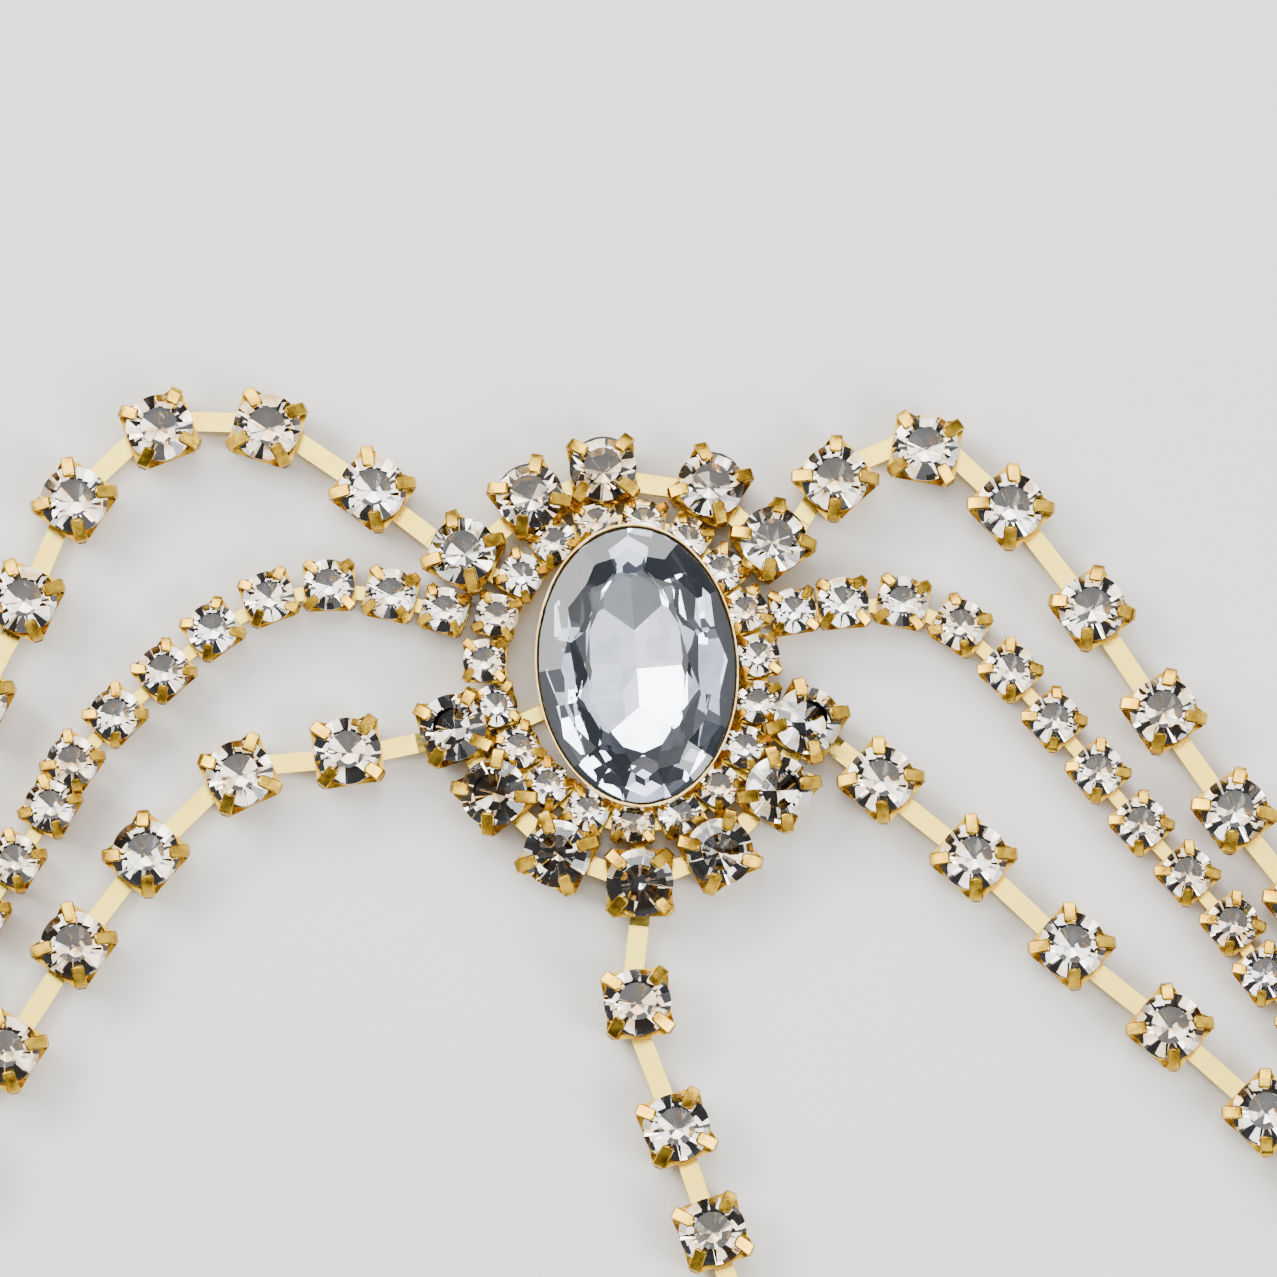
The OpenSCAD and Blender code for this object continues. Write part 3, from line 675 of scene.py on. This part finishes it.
# The setting of the centre stone: a spun brass shell with a flat foot, which widens to a ledge and a
# thin upright rim, all plated. The rim is burnished over the stone's edge.
rim_gold = gold_material("rim_gold", (0.80, 0.50, 0.12), (0.97, 0.76, 0.34), roughness=0.12, scale=500)
shell = new_piece("centre_setting", "plane", size=1, location=(0, 0, 0))
bpy.ops.object.mode_set(mode="EDIT")
bpy.ops.mesh.delete(type="VERT")
bpy.ops.object.mode_set(mode="OBJECT")
profile = [(0, 0), (4.0, 0), (4.1, 0.1), (4.3, 0.6), (6.9, 2.4), (7.5, 3.0), (8.7, 4.6), (8.88, 5.0),
           (8.88, 6.0), (8.88, 6.19), (8.78, 6.19), (8.72, 6.1), (8.72, 5.2), (7.2, 3.3), (6.6, 2.8),
           (4.0, 1.1), (0, 1.0)]
shell.data.from_pydata([(x, 0, z) for x, z in profile], [(k, k + 1) for k in range(len(profile) - 1)], [])
bpy.ops.object.mode_set(mode="EDIT")
bpy.ops.mesh.select_all(action="SELECT")
bpy.ops.mesh.spin(steps=96, angle=math.radians(360), center=(0, 0, 0), axis=(0, 0, 1))
bpy.ops.mesh.remove_doubles(threshold=0.0005)
bpy.ops.mesh.normals_make_consistent(inside=False)
bpy.ops.object.mode_set(mode="OBJECT")
oval_half_x, oval_half_y = 8.6, 12.15
oval_stretch = oval_half_y / oval_half_x
oval_at = Vector((0.0007, -0.0005, 0))
shell.data.transform(Matrix.Translation(oval_at) @ MILLIMETRES @ Matrix.Diagonal((1, oval_stretch, 1, 1)))
paint(shell, rim_gold)
shade_crisp(shell)
finish(shell, "gold", "medallion_frame")


# The centre stone: one oval of pressed and cut glass, 17 by 24 mm, foiled behind like the others. Its
# flat table is ringed by star facets, twelve kites and the halves at the girdle. Underneath, three
# rows of short facets lead to eight long ones, which close on a short keel.
# The oval's foil keeps its own pale blue-grey tone and gets a faint painted glow, standing in for the light
# that strays inside the glass
oval_foil = foil_material("oval_foil", ((0.74, 0.77, 0.83), (0.93, 0.95, 1.0)), roughness=0.015, painted_glow=0.02)
oval_glass = glass_material("oval_glass", (0.89, 0.93, 1.0))


def oval_square(turn):
    """The direction square to the oval's outline at this turn"""
    a = math.radians(turn)
    return Vector((math.cos(a) / oval_half_x, math.sin(a) / oval_half_y)).normalized()


def oval_facet(turn, slope, inset, height):
    """Cuts a facet of the oval, square to its outline, set in from the edge and leaning by slope"""
    a, s = math.radians(turn), math.radians(slope)
    square = oval_square(turn)
    edge = Vector((oval_half_x * math.cos(a), oval_half_y * math.sin(a))) - square * inset
    cut_off((edge.x, edge.y, height), (square.x * math.sin(s), square.y * math.sin(s), math.cos(s)))


oval = new_piece("centre_stone_pattern", "cylinder", vertices=96, radius=1, depth=12,
                 scale=(oval_half_x, oval_half_y, 1))
bpy.ops.object.mode_set(mode="EDIT")
oval_table = 1.70
star_slope, kite_slope, half_slope = 11, 17, 24
oval_facet(0, 0, inset=0, height=oval_table)
for k in range(12):
    oval_facet(30 * k, kite_slope, inset=0, height=0.45)
    oval_facet(30 * k + 15, star_slope, inset=4.3, height=oval_table)
for k in range(24):
    oval_facet(15 * k + 7.5, half_slope, inset=0, height=0.15)
keel_half, keel_depth = 3.4, 3.8
long_out, long_down = 0.25, 0.97
for k in range(8):
    side = oval_square(45 * k + 22.5)
    cut_off((0, math.copysign(keel_half, side.y), -keel_depth),
            (side.x * long_out, side.y * long_out, -long_down))
outer_row, middle_row, inner_row = 38, 30, 24
for k in range(24):
    oval_facet(15 * k + 7.5, 180 - outer_row, inset=0, height=-0.14)
for k in range(12):
    oval_facet(30 * k, 180 - middle_row, inset=1.0, height=-0.95)
    oval_facet(30 * k + 15, 180 - inner_row, inset=2.4, height=-2.0)
bpy.ops.object.mode_set(mode="OBJECT")
glass_and_foil(oval, oval_glass, oval_foil)
oval_height = 0.005786
oval.data.transform(Matrix.Translation(oval_at + Vector((0, 0, oval_height))) @ MILLIMETRES)
oval.name = "centre_stone_cut"
finish(oval, "crystal", "centre_stone")


# The close-set strands in the middle of each side: smaller cups of the same kind, a little over a
# stone apart, joined by narrow links. The first stone of each, next to the medallion, is smaller.
left_way = [(-15.8, 6.1), (-20.4, 7.8), (-25.75, 9.0), (-31.1, 8.3), (-36.2, 5.8), (-40.7, 2.4),
            (-45.2, -1.2), (-49.2, -5.1), (-51.4, -8.9)]
right_way = [(14.8, 3.9), (19.2, 4.3), (24.4, 4.0), (29.3, 1.6), (33.4, -2.7), (36.9, -7.3),
             (40.4, -12.1), (43.8, -17), (47.5, -21.7), (51.1, -26.4), (53.6, -31)]
close_spacing = 5.62
close_gold = gold_material("close_gold", (0.38, 0.195, 0.015), (0.74, 0.455, 0.042),
                           roughness=0.20, scale=1100)


def run_on(way, through, spacing):
    """Carries a row of places on through further points, at even spacing, to the last of them"""
    line = [Vector(way[-1])] + [Vector(p) for p in through]
    lengths = [(b - a).length for a, b in zip(line, line[1:])]
    count = round(sum(lengths) / spacing)
    step = sum(lengths) / count
    for k in range(1, count):
        left, leg = k * step, 0
        while left > lengths[leg]:
            left -= lengths[leg]
            leg += 1
        way.append(tuple(line[leg].lerp(line[leg + 1], left / lengths[leg])))
    return way


left_end = [(-58, -17.8), (-70, -35.5), (-83.7, -55.8)]
right_end = [(60.2, -40.3), (67.3, -50.5), (77.1, -64.2)]
rows = {"strand_middle_left": run_on(left_way, left_end, close_spacing),
        "strand_middle_right": run_on(right_way, right_end, close_spacing)}
hooks_at = {"strand_middle_left": (-87.2, -61.0), "strand_middle_right": (80.3, -69.0)}
close_metal, close_room = 0.3, 0.55
culet_up = Matrix.Translation((0, 0, 0.001 * (close_metal + close_room)))
ring_reach = 3.4
for name, way in rows.items():
    places, sizes = [], []
    for k, (x, y) in enumerate(way):
        before, after = way[max(k - 1, 0)], way[min(k + 1, len(way) - 1)]
        turn = math.atan2(after[1] - before[1], after[0] - before[0])
        places.append(Matrix.Translation((x / 1000, y / 1000, 0)) @ Matrix.Rotation(turn, 4, "Z"))
        sizes.append(FIRST if k == 0 else MEDIUM)
    stones = set_copies(name + "_stones", round_stone,
                        [stone_place(p @ culet_up, s) for p, s in zip(places, sizes)])
    finish(stones, "crystal", name)
    trays = []
    for size in (FIRST, MEDIUM):
        close_cup = stamped_cup(size, close_metal, close_room, (90, 270), (0, 180), slot_width=1.7)
        paint(close_cup, close_gold)
        seats = [p for p, s in zip(places, sizes) if s == size]
        trays.append(set_copies(name + "_cups", close_cup, seats, press_claws))
        bpy.data.objects.remove(close_cup)
    cups = join_all(name + "_cups", trays)
    shade_crisp(cups)
    finish(cups, "gold", name)
    at_ring = tuple(Vector(way[0]) * (1 - ring_reach / Vector(way[0]).length))
    stops = [at_ring] + way + [hooks_at[name]]
    bars = [bar_between("close_link", one, two, short=2.6, width=1.3, low=0.4, thick=0.35)
            for one, two in zip(stops, stops[1:])]
    bars = join_all(name + "_links", bars)
    apply_modifier(bars, "BEVEL", width=0.06, segments=1, limit_method="ANGLE",
                   angle_limit=math.radians(60))
    bars.data.transform(MILLIMETRES)
    paint(bars, link_gold)
    shade_crisp(bars)
    finish(bars, "gold", name)
bpy.data.objects.remove(round_stone)


# The hooks at the strands' ends: flat hollow bars of folded brass that hold the last links, each
# with a bent round wire, plated like the rest.
hook_gold = gold_material("hook_gold", (0.80, 0.50, 0.12), (0.96, 0.70, 0.24), roughness=0.18, scale=400)
for name in ("hook_left", "hook_right", "hook_drop"):
    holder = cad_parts[name]
    if not holder.material_slots:
        holder.data.materials.append(hook_gold)
    for slot in holder.material_slots:
        slot.material = hook_gold
